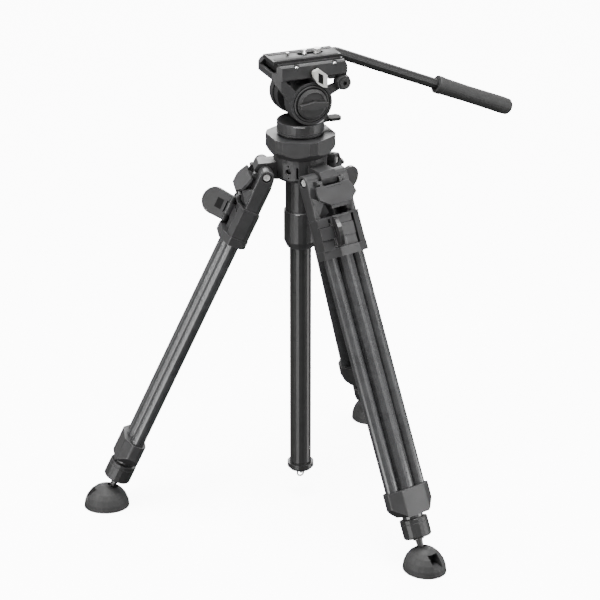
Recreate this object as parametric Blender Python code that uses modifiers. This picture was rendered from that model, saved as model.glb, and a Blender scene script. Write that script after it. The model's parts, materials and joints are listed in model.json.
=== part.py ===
"""A folding tripod with a fluid head.

Lengths below are in millimetres and the scene is in metres. The z axis is up and z = 0 is the floor.
+X is where the lens points and +Y is the operator's left. A leg is drawn in its own frame: x points away
from the leg's outer side, y across the leg, z up along the leg, and the spread pivot is at the origin.
"""

import math

import bmesh
import bpy
from mathutils import Matrix, Vector

MM = 0.001
GAP = 0.3  # between pieces that touch

# Where the centre column stands, so that the origin is under the middle of the whole tripod
COLUMN_X, COLUMN_Y = 18.02, -34.36

# Legs
LEG_AZIMUTHS = (-15.1, 104.9, 224.9)
LEG_ANGLE = 25.16  # between an open leg and the column
PIVOT_RADIUS, PIVOT_HEIGHT = 46.3, 461.4
ARM_Y, ARM_RADIUS = 21.5, 9.0
EAR_HALF_WIDTH = ARM_Y - ARM_RADIUS - GAP
TUBE_Y, TUBE_RADIUS, TUBE_WALL = 21.0, 8.7, 1.4
MID_RADIUS = TUBE_Y - TUBE_RADIUS - GAP
FOOT_TUBE_RADIUS = MID_RADIUS - 1.2 - GAP
CASTING_TOP, CASTING_BOTTOM = -48.2, -99.5
BAND_TOP = -88.5
CHEEK_Y = 33.0  # half width of the casting
TUBE_TOP, TUBE_BOTTOM = -60.0, -422.0
BRACKET_TOP, BRACKET_BOTTOM = -402.0, -436.4
COLLAR_BOTTOM, COLLAR_RADIUS = -466.0, 18.0
NECK_RADIUS, NECK_LENGTH = 13.4, 4.0
BALL_ALONG, BALL_RADIUS = -486.0, 6.0
LEVER_HINGE = (16.5, -13.5)  # x, y of the lock lever's hinge line
LEVER_LOW, LEVER_HIGH = -85.5, -51.2
KNUCKLE_LOW, KNUCKLE_HIGH = -75.6, -60.0
LEVER_OPEN_ANGLE = -25.0
TAB_HINGE = (12.5, -5.0)  # x, z of the angle tab's hinge line
PAD_HEIGHT, PAD_LENGTH, PAD_WIDTH = 31.0, 60.0, 53.0
PAD_OFFSET = 5.0  # of the pad's middle, outward from the ball

# Hub and column
HUB_TOP, HUB_BOTTOM, HUB_RADIUS = 483.0, 450.0, 34.0
GUIDE_RADIUS, GUIDE_BOTTOM = 19.4, 407.0
SLEEVE_RADIUS, SLEEVE_BOTTOM = 21.4, 357.0
COLUMN_RADIUS, COLUMN_TOP, COLUMN_BOTTOM = 14.0, 499.7, 49.3
RUN = COLUMN_RADIUS + GAP  # bore that the column runs in
PLATFORM_TOP, PLATFORM_RADIUS = 509.0, 44.0

# Head
PAN_TOP, PAN_RADIUS = 527.0, 30.0
TILT_X, TILT_Z = -3.5, 555.2
NEAR_DRUM, FAR_DRUM = (5.0, 28.3), (-30.0, -17.3)  # y from and to
NEAR_DRUM_RADIUS, FAR_DRUM_RADIUS = 27.5, 27.8
RECEIVER_REAR, RECEIVER_FRONT, RECEIVER_HALF_WIDTH = -52.0, 46.0, 29.0
RECEIVER_BOTTOM, RECEIVER_FLOOR, JAW_TOP = 588.0, 598.0, 607.5
PLATE_REAR, PLATE_FRONT, PLATE_TOP = -47.0, 43.0, 612.0
PLATE_HALF_WIDTH, DOVETAIL = 17.8, 2.0
NEAR_WALL_Y, CLAMP_TRAVEL = 24.3, 1.4
PLATE_LEVER_PIVOT = (-7.0, 29.3, 596.4)
PAN_LEVER_AXIS = (-35.3, -10.0, 519.0)
NEAR_ROSETTE = (-46.0, 26.8, 578.0)
HANDLE_PIVOT = (-50.0, -40.0, 577.0)
HANDLE_SLOPE, HANDLE_RADIUS, HANDLE_BEND = 23.0, 7.0, 10.0
GRIP_START_X, GRIP_LENGTH, GRIP_RADIUS = -206.0, 116.0, 11.3
QUARTER_X, THREE_EIGHTHS_X, PIN_X = -5.0, -22.0, 17.5


# ---- Shapes ------------------------------------------------------------------------------------------


def collection(name):
    """A new collection in the scene."""
    made = bpy.data.collections.new(name)
    bpy.context.scene.collection.children.link(made)
    return made


def clear_scene():
    """Removes every object, so that the model starts empty."""
    for obj in list(bpy.data.objects):
        bpy.data.objects.remove(obj, do_unlink=True)


def shape(bm):
    """A loose mesh object holding bm."""
    mesh = bpy.data.meshes.new("shape")
    bm.to_mesh(mesh)
    bm.free()
    obj = bpy.data.objects.new("shape", mesh)
    SHAPES.objects.link(obj)
    return obj


def box(low, high, bevel=0.0, segments=1):
    """A box between two corners, its edges rounded by bevel."""
    bm = bmesh.new()
    bmesh.ops.create_cube(bm, size=1.0)
    size = [(b - a) * MM for a, b in zip(low, high)]
    middle = [(a + b) / 2 * MM for a, b in zip(low, high)]
    bmesh.ops.scale(bm, vec=size, verts=bm.verts)
    bmesh.ops.translate(bm, vec=middle, verts=bm.verts)
    if bevel:
        bmesh.ops.bevel(
            bm, geom=bm.edges[:], offset=bevel * MM, segments=segments, profile=0.5, affect="EDGES"
        )
    return shape(bm)


def rod(start, end, radius, end_radius=None, sides=20):
    """A cylinder, or a cone, from one point to another."""
    start, end = Vector(start) * MM, Vector(end) * MM
    bm = bmesh.new()
    bmesh.ops.create_cone(
        bm,
        cap_ends=True,
        segments=sides,
        radius1=radius * MM,
        radius2=(radius if end_radius is None else end_radius) * MM,
        depth=(end - start).length,
    )
    turn = (end - start).to_track_quat("Z", "Y").to_matrix().to_4x4()
    bmesh.ops.transform(bm, matrix=Matrix.Translation((start + end) / 2) @ turn, verts=bm.verts)
    return shape(bm)


def ball(centre, radius, sides=14, rings=8, scale=(1, 1, 1)):
    """A sphere, stretched by scale."""
    bm = bmesh.new()
    bmesh.ops.create_uvsphere(bm, u_segments=sides, v_segments=rings, radius=radius * MM)
    bmesh.ops.scale(bm, vec=scale, verts=bm.verts)
    bmesh.ops.translate(bm, vec=Vector(centre) * MM, verts=bm.verts)
    return shape(bm)


def turned(profile, sides=32, hollow=False):
    """A profile of (radius, z) points turned about z. It runs down the outer side, top to bottom."""
    bm = bmesh.new()
    points = [bm.verts.new((radius * MM, 0, z * MM)) for radius, z in profile]
    for first, second in zip(points, points[1:]):
        bm.edges.new((first, second))
    if hollow:
        bm.edges.new((points[-1], points[0]))
    obj = shape(bm)
    screw = obj.modifiers.new("Turn", "SCREW")
    screw.steps = screw.render_steps = sides
    screw.use_merge_vertices = True
    screw.merge_threshold = 0.00001
    return baked(obj)


def meshed(curve_object):
    """A curve object made a mesh object, with its caps welded on."""
    graph = bpy.context.evaluated_depsgraph_get()
    mesh = bpy.data.meshes.new_from_object(curve_object.evaluated_get(graph))
    bm = bmesh.new()
    bm.from_mesh(mesh)
    bmesh.ops.remove_doubles(bm, verts=bm.verts, dist=0.00001)
    obj = shape(bm)
    obj.matrix_world = curve_object.matrix_world.copy()
    bpy.data.objects.remove(curve_object)
    return placed(obj)


def placed(obj):
    """The object with its matrix worked into its mesh."""
    obj.data.transform(obj.matrix_basis)
    obj.matrix_basis = Matrix.Identity(4)
    return obj


def spline_object(points, closed):
    """A curve object along 3-D points in millimetres."""
    curve = bpy.data.curves.new("line", "CURVE")
    spline = curve.splines.new("POLY")
    spline.points.add(len(points) - 1)
    for point, place in zip(spline.points, points):
        point.co = (*(Vector(place) * MM), 1)
    spline.use_cyclic_u = closed
    obj = bpy.data.objects.new("line", curve)
    SHAPES.objects.link(obj)
    return obj


def slab(outline, low, high, along):
    """A flat outline made a slab from low to high along X, Y or Z. Points are (y, z), (x, z) or (x, y)."""
    line = spline_object([(a, b, 0) for a, b in outline], True)
    line.data.dimensions = "2D"
    line.data.fill_mode = "BOTH"
    line.data.extrude = (high - low) / 2 * MM
    turns = {
        "X": Matrix(((0, 0, 1), (1, 0, 0), (0, 1, 0))),
        "Y": Matrix(((1, 0, 0), (0, 0, -1), (0, 1, 0))),
        "Z": Matrix.Identity(3),
    }
    shift = {"X": Vector((1, 0, 0)), "Y": Vector((0, 1, 0)), "Z": Vector((0, 0, 1))}[along]
    line.matrix_world = Matrix.Translation(shift * (low + high) / 2 * MM) @ turns[along].to_4x4()
    bpy.context.view_layer.update()
    return meshed(line)


def pipe(points, radius, sides_resolution=4):
    """A round bar along 3-D points."""
    line = spline_object(points, False)
    line.data.dimensions = "3D"
    line.data.bevel_depth = radius * MM
    line.data.bevel_resolution = sides_resolution
    line.data.use_fill_caps = True
    return meshed(line)


def rounded(corners, radii, steps=3):
    """The outline with each corner replaced by an arc. radii is one radius, or one for each corner."""
    radii = radii if isinstance(radii, (list, tuple)) else [radii] * len(corners)
    outline = []
    for i, (corner, radius) in enumerate(zip(corners, radii)):
        here = Vector(corner)
        before = (Vector(corners[i - 1]) - here).normalized()
        after = (Vector(corners[(i + 1) % len(corners)]) - here).normalized()
        half = before.angle(after) / 2
        reach = radius / math.tan(half)
        centre = here + (before + after).normalized() * radius / math.sin(half)
        start, end = here + before * reach - centre, here + after * reach - centre
        sweep = start.angle_signed(end)
        for step in range(steps + 1):
            turn = Matrix.Rotation(-sweep * step / steps, 2)
            outline.append(tuple(centre + turn @ start))
    return outline


def hull(points):
    """The convex solid around the points."""
    bm = bmesh.new()
    verts = [bm.verts.new(Vector(point) * MM) for point in points]
    made = bmesh.ops.convex_hull(bm, input=verts)
    spare = {v for v in made["geom_interior"] + made["geom_unused"] if isinstance(v, bmesh.types.BMVert)}
    bmesh.ops.delete(bm, geom=list(spare), context="VERTS")
    bmesh.ops.recalc_face_normals(bm, faces=bm.faces)
    return shape(bm)


def baked(obj):
    """The object with its modifiers worked into its mesh."""
    graph = bpy.context.evaluated_depsgraph_get()
    mesh = bpy.data.meshes.new_from_object(obj.evaluated_get(graph))
    obj.modifiers.clear()
    obj.data = mesh
    return obj


def combined(body, operation, tools):
    """The body after a Boolean with each tool, and the tools removed."""
    for tool in tools:
        step = body.modifiers.new(operation, "BOOLEAN")
        step.operation = operation
        step.object = tool
    bpy.context.view_layer.update()
    baked(body)
    for tool in tools:
        bpy.data.objects.remove(tool)
    return body


def joined(body, *tools):
    return combined(body, "UNION", tools)


def cut(body, *tools):
    return combined(body, "DIFFERENCE", tools)


def common(body, tool):
    return combined(body, "INTERSECT", (tool,))


def moved(obj, offset=(0, 0, 0), turn=0.0, axis="Z"):
    """The shape turned about an axis through the origin by degrees, then shifted."""
    obj.data.transform(Matrix.Rotation(math.radians(turn), 4, axis))
    obj.data.transform(Matrix.Translation(Vector(offset) * MM))
    return obj


def both_sides(make):
    """make(1) and make(-1), the two mirrored halves of a pair."""
    return [make(side) for side in (1, -1)]


# ---- Nodes -------------------------------------------------------------------------------------------


def material(name, colour, roughness, metallic=0.0):
    made = bpy.data.materials.new(name)
    made.use_nodes = True
    surface = made.node_tree.nodes["Principled BSDF"]
    surface.inputs["Base Color"].default_value = (*colour, 1)
    surface.inputs["Roughness"].default_value = roughness
    surface.inputs["Metallic"].default_value = metallic
    return made


def finished(obj, name, look):
    """The shape's mesh, named, shaded and with its material; the loose shape goes."""
    mesh = obj.data
    bpy.data.objects.remove(obj)
    mesh.name = name
    mesh.materials.clear()
    mesh.materials.append(look)
    mesh.shade_smooth()
    mesh.set_sharp_from_angle(angle=math.radians(32))
    return mesh


def node(name, mesh, parent, location=(0, 0, 0), rotation=(0, 0, 0)):
    """One sub-part. location is in millimetres and rotation in degrees, in the parent's frame."""
    obj = bpy.data.objects.new(name, mesh)
    TRIPOD.objects.link(obj)
    obj.parent = parent
    obj.location = Vector(location) * MM
    obj.rotation_euler = [math.radians(angle) for angle in rotation]
    return obj


def empty(name, parent=None, location=(0, 0, 0), rotation=(0, 0, 0)):
    return node(name, None, parent, location, rotation)


# ---- Leg pieces, each in the leg's frame --------------------------------------------------------------


def yoke():
    """Shoulder casting: two arms that straddle the hub's ear, and a block that grips the three tubes."""
    rim_top, side = CASTING_TOP - 2, CHEEK_Y
    core = [(8, -side), (8, side), (-13, side), (-13, -side)]
    block = slab(rounded(core, [1, 1, 7, 7]), CASTING_BOTTOM + 1.5, rim_top + 0.6, "Z")
    rim = [(-9, -side - 0.3), (10.5, -side - 0.3), (16, -14), (16, 14), (10.5, side + 0.3), (-9, side + 0.3)]
    band = [(-15.5, -26), (-8, -33.8), (9, -33.8), (19.5, -15), (19.5, 15), (9, 33.8), (-8, 33.8), (-15.5, 26)]
    bulge = [(-11, -25), (-16.6, -19), (-16.6, 19), (-11, 25)]
    parts = [
        slab(rounded(rim, 1, 2), rim_top, CASTING_TOP, "Z"),
        slab(rounded(band, 1.2, 2), CASTING_BOTTOM, BAND_TOP, "Z"),
        slab(bulge, BAND_TOP - 2, -54, "Z"),
    ]
    parts += both_sides(arm) + both_sides(gusset) + both_sides(tab_lug) + lever_blocks()
    joined(block, *parts)
    top = TUBE_TOP + GAP
    holes = both_sides(lambda s: rod((0, s * TUBE_Y, -110), (0, s * TUBE_Y, top), TUBE_RADIUS + GAP, sides=18))
    holes.append(rod((0, 0, -110), (0, 0, top), MID_RADIUS + GAP, sides=18))
    holes.append(box((-7, -18.5, -56.5), (10.2, 18.5, -40)))
    holes.append(rod((0, -40, 0), (0, 40, 0), 4 + GAP, sides=12))
    holes += both_sides(lambda s: rod((0, s * 27, 0), (0, s * 40, 0), 6 + GAP, sides=16))
    holes += both_sides(lambda s: rod(tab_point(s * 10), tab_point(s * 20.6), 1.5 + GAP, sides=8))
    holes.append(rod((*LEVER_HINGE, -90), (*LEVER_HINGE, -40), 2 + GAP, sides=8))
    return cut(block, *holes)


def arm(side):
    """One arm: a round boss about the spread pivot that runs into a flat-sided bar down to the block."""
    inner, outer, front, back = EAR_HALF_WIDTH + GAP, 32.3, 7.5, -13
    corners = [(front, side * inner), (front, side * outer), (back, side * outer), (back, side * inner)]
    section = rounded(corners, [1, 1, 7, 2])
    points = [(x, y, z) for x, y in section for z in (CASTING_TOP - 3, -14)]
    for step in range(18):
        angle = math.tau * step / 18
        points += [(9.7 * math.cos(angle), side * y, 9.7 * math.sin(angle)) for y in (inner, outer - 1)]
        points.append((8.7 * math.cos(angle), side * (outer - 0.2), 8.7 * math.sin(angle)))
    return hull(points)


def gusset(side):
    """Web between an arm and the block, which leans forward behind the angle tab."""
    front = [(7.4, 32, -20), (19.3, 22, -30), (14, 14.3, -43), (4, 27, -50.4)]
    back = [(0, 31, -20), (0, 13.5, -20), (0, 13.5, -44), (-2, 30, -50.4)]
    return hull([(x, side * y, z) for x, y, z in front + back])


def lever_blocks():
    """The casting's front: two lugs, the knuckle that holds the lever's pin, a stepped nest and a cheek."""
    low, top = BAND_TOP - 0.5, CASTING_TOP - 1
    lug = [(4, -CHEEK_Y), (11.3, -CHEEK_Y), (16, -20.5), (4, -20.5)]
    x, y = LEVER_HINGE
    knuckle = [(4, -CHEEK_Y), (12.3, -CHEEK_Y), (x + 3.6, y - 2), (x - 1, y + 4), (4, y + 4)]
    cheek = [(4, 21.2), (13.5, 21.2), (9, CHEEK_Y), (4, CHEEK_Y)]
    nest = [(4, -4), (12.2, -4), (12.2, 18.3), (4, 18.3)]
    above, below = KNUCKLE_HIGH + 0.8, KNUCKLE_LOW - 0.8
    pieces = [(lug, above, top), (lug, low, below), (cheek, low, top), (nest, above, top), (nest, low, below)]
    pieces.append((knuckle, KNUCKLE_LOW, KNUCKLE_HIGH))
    pieces.append(([(a + 1.1 * (a > 4), b) for a, b in nest], KNUCKLE_LOW, KNUCKLE_HIGH))
    made = [slab(outline, from_z, to_z, "Z") for outline, from_z, to_z in pieces]
    return made + [rod((x, y, KNUCKLE_LOW), (x, y, KNUCKLE_HIGH), 4.1, sides=14)]


def tab_point(y):
    return TAB_HINGE[0], y, TAB_HINGE[1]


def tab_lug(side):
    """A lug on the arm's front that holds the angle tab's hinge."""
    bar = rod(tab_point(side * 17.3), tab_point(side * 21.3), 3, sides=12)
    x, z = TAB_HINGE
    ends = sorted((side * 17.3, side * 21.3))
    return joined(bar, box((4, ends[0], z - 3), (x, ends[1], z + 3)))


def pivot_pin():
    """Spread pivot bolt, with the socket heads at its two ends."""
    pin = rod((0, -29, 0), (0, 29, 0), 4, sides=12)
    joined(pin, *both_sides(lambda s: rod((0, s * 27.3, 0), (0, s * 30.4, 0), 4.9, 4.3, sides=16)))
    return cut(pin, *both_sides(lambda s: rod((0, s * 28.4, 0), (0, s * 31, 0), 2.3, sides=6)))


def tube(radius, wall, top, bottom, sides=20):
    inner = radius - wall
    return turned([(inner, top), (radius, top), (radius, bottom), (inner, bottom)], sides, True)


def outer_tube():
    return tube(TUBE_RADIUS, TUBE_WALL, TUBE_TOP, TUBE_BOTTOM)


def lower_bracket():
    """Bracket that ties the two outer tubes and guides the middle tube, narrower towards its foot."""
    section = [(-12.5, -24), (-6, -32.5), (6, -32.5), (16.5, -18), (16.5, 18), (6, 32.5), (-6, 32.5), (-12.5, 24)]
    body = slab(rounded(section, 4, 3), BRACKET_BOTTOM, BRACKET_TOP, "Z")
    face = [(-34, BRACKET_TOP + 1), (34, BRACKET_TOP + 1), (34, -421), (15.5, BRACKET_BOTTOM + 0.01)]
    face += [(-15.5, BRACKET_BOTTOM + 0.01), (-34, -421)]
    common(body, slab(face, -20, 20, "X"))
    low = TUBE_BOTTOM - 1
    holes = both_sides(lambda s: rod((0, s * TUBE_Y, low), (0, s * TUBE_Y, -390), TUBE_RADIUS + GAP))
    holes.append(rod((0, 0, -450), (0, 0, -390), MID_RADIUS + GAP))
    return cut(body, *holes)


def mid_tube():
    """Second stage, with the ring that closes its lower end."""
    inner, top, ring = MID_RADIUS - 1.2, TUBE_TOP - 1, BRACKET_BOTTOM - GAP
    low = ring - NECK_LENGTH
    profile = [(inner, top), (MID_RADIUS, top), (MID_RADIUS, ring), (NECK_RADIUS, ring)]
    return turned(profile + [(NECK_RADIUS, low), (inner, low)], 20, True)


def foot_tube():
    """Third stage, with the collar at its lower end."""
    inner, top, collar = FOOT_TUBE_RADIUS - 1.2, TUBE_TOP - 10, BRACKET_BOTTOM - NECK_LENGTH - 2 * GAP
    profile = [
        (inner, top),
        (FOOT_TUBE_RADIUS, top),
        (FOOT_TUBE_RADIUS, collar),
        (COLLAR_RADIUS - 0.6, collar),
        (COLLAR_RADIUS, collar - 0.6),
        (COLLAR_RADIUS, collar - 5),
        (COLLAR_RADIUS - 0.5, collar - 5.4),
        (COLLAR_RADIUS, collar - 5.8),
        (COLLAR_RADIUS, COLLAR_BOTTOM + 2),
        (COLLAR_RADIUS - 1.6, COLLAR_BOTTOM),
        (4.3, COLLAR_BOTTOM),
        (4.3, COLLAR_BOTTOM + 14),
        (inner, COLLAR_BOTTOM + 14),
    ]
    return turned(profile, 20, True)


def foot_stud():
    """Threaded stud, tapered below its flange, with the ball that the foot pad swivels on."""
    stud = rod((0, 0, BALL_ALONG), (0, 0, COLLAR_BOTTOM + 13), 4, sides=12)
    flange = rod((0, 0, COLLAR_BOTTOM - 3), (0, 0, COLLAR_BOTTOM - GAP), 7.2, sides=16)
    taper = rod((0, 0, BALL_ALONG), (0, 0, COLLAR_BOTTOM - 2), 3.2, 5.0, sides=12)
    return joined(stud, flange, taper, ball((0, 0, BALL_ALONG), BALL_RADIUS))


def foot_pad():
    """Rubber foot: an oval dome. Its frame stands upright with the ball's middle at the origin."""
    floor = -ball_height()
    low = floor - 2
    dome = ball((PAD_OFFSET, 0, floor), 1, 24, 12, (PAD_LENGTH / 2, PAD_WIDTH / 2, PAD_HEIGHT))
    cut(dome, box((-60, -60, floor - 60), (60, 60, floor)))
    leg = Vector((-math.sin(math.radians(LEG_ANGLE)), 0, math.cos(math.radians(LEG_ANGLE))))
    mouth = rod(leg * 2, leg * 24, 5.2, 12.5, sides=16)
    cut(dome, ball((0, 0, 0), BALL_RADIUS + GAP), mouth)
    window = hull([(x, y, floor + z) for x, z in ((12, 12), (12, 26), (50, 11), (50, 28)) for y in (-7, 7)])
    return cut(dome, window, box((-8, -8, low), (18, 8, floor + 6)))


def ball_height():
    return PIVOT_HEIGHT + BALL_ALONG * math.cos(math.radians(LEG_ANGLE))


def lock_lever():
    """Lock lever about its hinge line, pointing along +x: a paddle with two barrels and a slot for the knuckle."""
    middle, half = (LEVER_LOW + LEVER_HIGH) / 2, (LEVER_HIGH - LEVER_LOW) / 2
    outline = [(0, LEVER_LOW), (0, LEVER_HIGH)]
    for step in range(11):
        angle = math.radians(90 - 18 * step)
        outline.append((21 + 16.5 * math.cos(angle), middle + (half + 0.9) * math.sin(angle)))
    paddle = slab(outline, -2.3, 2.3, "Y")
    gap_low, gap_high = KNUCKLE_LOW - 0.5, KNUCKLE_HIGH + 0.5
    for low, high in ((LEVER_LOW, gap_low), (gap_high, LEVER_HIGH)):
        joined(paddle, rod((0, 0, low - 0.01), (0, 0, high + 0.01), 4.1, sides=16))
    slot = box((-6, -8, gap_low), (5.4, 8, gap_high))
    pocket = box((9, -8, gap_low + 1.5), (18, 0.5, gap_high - 1.5))
    return cut(paddle, slot, pocket, rod((0, 0, -100), (0, 0, -30), 2 + GAP, sides=12))


def lever_pin():
    return rod((*LEVER_HINGE, LEVER_LOW - 0.4), (*LEVER_HINGE, LEVER_HIGH + 0.4), 2, sides=12)


def angle_tab():
    """Angle tab about its hinge line: an eight-sided plate that leans outward, with trunnions and a pawl."""
    outline = [(-25, -5), (-13.5, -5), (-13.5, -6), (13.5, -6), (13.5, -5), (25, -5)]
    outline += [(28.5, -15), (28.5, -23), (16, -32), (-16, -32), (-28.5, -23), (-28.5, -15)]
    plate = cut(slab(outline, -1.5, 1.7, "X"), box((0.9, -12, -9.4), (3, 12, -8.4)))
    moved(plate, (1.0, 0, 0), -21, "Y")
    posts = both_sides(lambda s: box(*sorted_corners((-2.4, s * 13.5, -7), (2.4, s * 17, 0))))
    barrels = both_sides(lambda s: rod((0, s * 13.5, 0), (0, s * 17, 0), 2.5, sides=12))
    trunnions = both_sides(lambda s: rod((0, s * 15, 0), (0, s * 20.3, 0), 1.5, sides=12))
    edges = ((10.4, 16, -28), (7, 13.5, -34.2))
    lip = hull([(x + shift, s * y, z) for x, y, z in edges for shift in (0, 2.6) for s in (1, -1)])
    pawl = box((-3, -9, -13.5), (5, 9, -8.5))
    return joined(plate, *posts, *barrels, *trunnions, lip, pawl)


def sorted_corners(first, second):
    return [min(pair) for pair in zip(first, second)], [max(pair) for pair in zip(first, second)]


# ---- Hub and column pieces, about the column's axis ---------------------------------------------------


def hub_casting():
    """Hub with the three ears that carry the legs, and an accessory port between each two."""
    bore = GUIDE_RADIUS + GAP
    body = turned(
        [
            (RUN, HUB_TOP),
            (HUB_RADIUS - 1, HUB_TOP),
            (HUB_RADIUS, HUB_TOP - 1),
            (HUB_RADIUS, 457),
            (30.5, 452),
            (23, HUB_BOTTOM),
            (bore, HUB_BOTTOM),
            (bore, 472),
            (RUN, 472),
        ],
        28,
        True,
    )
    joined(body, *[moved(ear(), turn=azimuth) for azimuth in LEG_AZIMUTHS])
    for azimuth in LEG_AZIMUTHS:
        bore_ear = rod((PIVOT_RADIUS, -20, PIVOT_HEIGHT), (PIVOT_RADIUS, 20, PIVOT_HEIGHT), 4 + GAP, sides=12)
        cut(body, moved(bore_ear, turn=azimuth), *[moved(s, turn=azimuth + 60) for s in port()])
    return body


def ear():
    """One ear, along +x: a flat top, a chamfered nose and a round underside about the pivot."""
    outline = [(24, HUB_TOP - 2), (34, 475), (54.5, 474), (59.8, 467)]
    for step in range(5):
        angle = math.radians(-12 - 30 * step)
        outline.append((PIVOT_RADIUS + 13.3 * math.cos(angle), PIVOT_HEIGHT + 10.5 * math.sin(angle)))
    outline += [(33, 452.5), (24, 452.5)]
    return slab(outline, -EAR_HALF_WIDTH, EAR_HALF_WIDTH, "Y")


def port():
    """Cutters of one accessory port, along +x: a flat, a threaded hole, two pin holes and a slot."""
    flat = box((HUB_RADIUS - 1.6, -11, 455), (HUB_RADIUS + 4, 6, 477))
    hole = rod((27, -3, 466), (40, -3, 466), 4.3, sides=12)
    pins = [rod((29, -3, z), (40, -3, z), 1.2, sides=6) for z in (458.3, 473.7)]
    return [flat, hole, *pins, box((28.5, 8, 458.5), (40, 11, 473.5))]


def column_guide():
    """Guide tube under the hub, with the neck that the lock sleeve screws onto."""
    profile = [(RUN, 471.7), (GUIDE_RADIUS, 471.7), (GUIDE_RADIUS, GUIDE_BOTTOM + GAP), (17, GUIDE_BOTTOM + GAP)]
    return turned(profile + [(17, 372), (RUN, 372)], 24, True)


def column_lock_sleeve():
    """Twist sleeve that clamps the column."""
    profile = [
        (17.3, GUIDE_BOTTOM),
        (SLEEVE_RADIUS - 1, GUIDE_BOTTOM),
        (SLEEVE_RADIUS, GUIDE_BOTTOM - 1),
        (SLEEVE_RADIUS, SLEEVE_BOTTOM + 9),
        (SLEEVE_RADIUS - 4, SLEEVE_BOTTOM),
        (RUN, SLEEVE_BOTTOM),
        (RUN, 371.7),
        (17.3, 371.7),
    ]
    return turned(profile, 24, True)


def centre_column():
    return tube(COLUMN_RADIUS, 2, COLUMN_TOP, COLUMN_BOTTOM, 24)


def column_end_cap():
    """Cap that closes the column's lower end, with the eye that the hook ring hangs from."""
    profile = [(0, 62), (11.7, 62), (11.7, 49), (17.5, 49), (17.5, 43), (14, 39), (0, 39)]
    cap = turned(profile, 24)
    joined(cap, box((-1.5, -3.5, 32), (1.5, 3.5, 41)))
    return cut(cap, rod((-10, 0, 35.5), (10, 0, 35.5), 2, sides=12))


def weight_hook():
    """Ring under the column, about the eye's axis, for a weight bag."""
    bm = bmesh.new()
    sides, around, reach, radius = 16, 8, 4.4, 1.2
    bmesh.ops.create_circle(bm, segments=around, radius=radius * MM)
    bmesh.ops.rotate(bm, verts=bm.verts, matrix=Matrix.Rotation(math.radians(90), 3, "X"))
    bmesh.ops.translate(bm, verts=bm.verts, vec=(reach * MM, 0, 0))
    bmesh.ops.spin(
        bm, geom=bm.verts[:] + bm.edges[:], cent=(0, 0, 0), axis=(0, 0, 1), angle=math.tau, steps=sides
    )
    bmesh.ops.remove_doubles(bm, verts=bm.verts, dist=0.00001)
    bmesh.ops.recalc_face_normals(bm, faces=bm.faces)
    return moved(moved(shape(bm), turn=90, axis="X"), (0, 0, -reach))


def column_platform():
    """Flange on the column that the head bolts to: twelve flats, wide and narrow, tapered below."""
    corners = []
    for k in range(6):
        for angle in (60 * k - 22.5, 60 * k + 22.5):
            corners.append((math.cos(math.radians(angle)), math.sin(math.radians(angle))))
    outline = [(PLATFORM_RADIUS * x, PLATFORM_RADIUS * y) for x, y in corners]
    body = slab(outline, HUB_TOP + GAP, PLATFORM_TOP, "Z")
    cone = [(0, 510), (46, 510), (46, 495), (36, HUB_TOP), (0, HUB_TOP)]
    common(body, turned(cone, 32))
    return cut(body, rod((0, 0, 470), (0, 0, 500), RUN))


# ---- Head pieces ---------------------------------------------------------------------------------------


def pan_base():
    """Base of the head, with the boss that the pan lock lever screws into."""
    profile = [(0, PAN_TOP), (29.3, PAN_TOP), (PAN_RADIUS, 526.3), (PAN_RADIUS, 515.2)]
    profile += [(29.2, 514.8), (29.2, 514), (PAN_RADIUS, 513.6), (PAN_RADIUS, 511.8), (27.5, 510.8)]
    body = turned(profile + [(27.5, PLATFORM_TOP + GAP), (0, PLATFORM_TOP + GAP)], 32)
    x, y, z = PAN_LEVER_AXIS
    joined(body, rod((-25, y, z), (x + GAP, y, z), 5, sides=20))
    return cut(body, rod((-26, y, z), (-40, y, z), 2.2 + GAP, sides=12))


def pan_lock_lever():
    """Wing lever about its screw, which runs along x through the origin."""
    hub = rod((0, 0, 0), (-6, 0, 0), 4.8, 4.2, sides=18)
    wing = [(-4, -4), (-8, -8), (-20, -8), (-23, -4), (-23, 4), (-20, 8), (-8, 8), (-4, 4)]
    screw = rod((8.5, 0, 0), (-3, 0, 0), 2.2, sides=12)
    return joined(hub, slab(rounded(wing, 1.5, 2), -2, 2, "Z"), screw)


def tilt_rod(y_from, y_to, radius, sides=32):
    """A disc about the tilt axis."""
    return rod((TILT_X, y_from, TILT_Z), (TILT_X, y_to, TILT_Z), radius, sides=sides)


def tilt_housing():
    """Block between the drums, which turns on the base and carries the tilt axle."""
    near = NEAR_DRUM[0] - GAP
    block = box((-18, -17, PAN_TOP + GAP), (9, near, TILT_Z), 1)
    joined(block, tilt_rod(-17, near, 20))
    return cut(block, tilt_rod(-30, 30, 5 + GAP, 20))


def tilt_axle():
    return tilt_rod(FAR_DRUM[0] + 0.6, NEAR_DRUM[1] - 0.4, 5, 20)


def plate_profile(grow):
    """Dovetail section of the camera plate, as (y, z), grown by a gap."""
    foot, waist = PLATE_HALF_WIDTH + DOVETAIL + grow, PLATE_HALF_WIDTH + grow
    bottom = RECEIVER_FLOOR + GAP - grow
    return [(foot, bottom), (foot, bottom + 1.5), (waist, 606), (waist, PLATE_TOP)]


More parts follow.
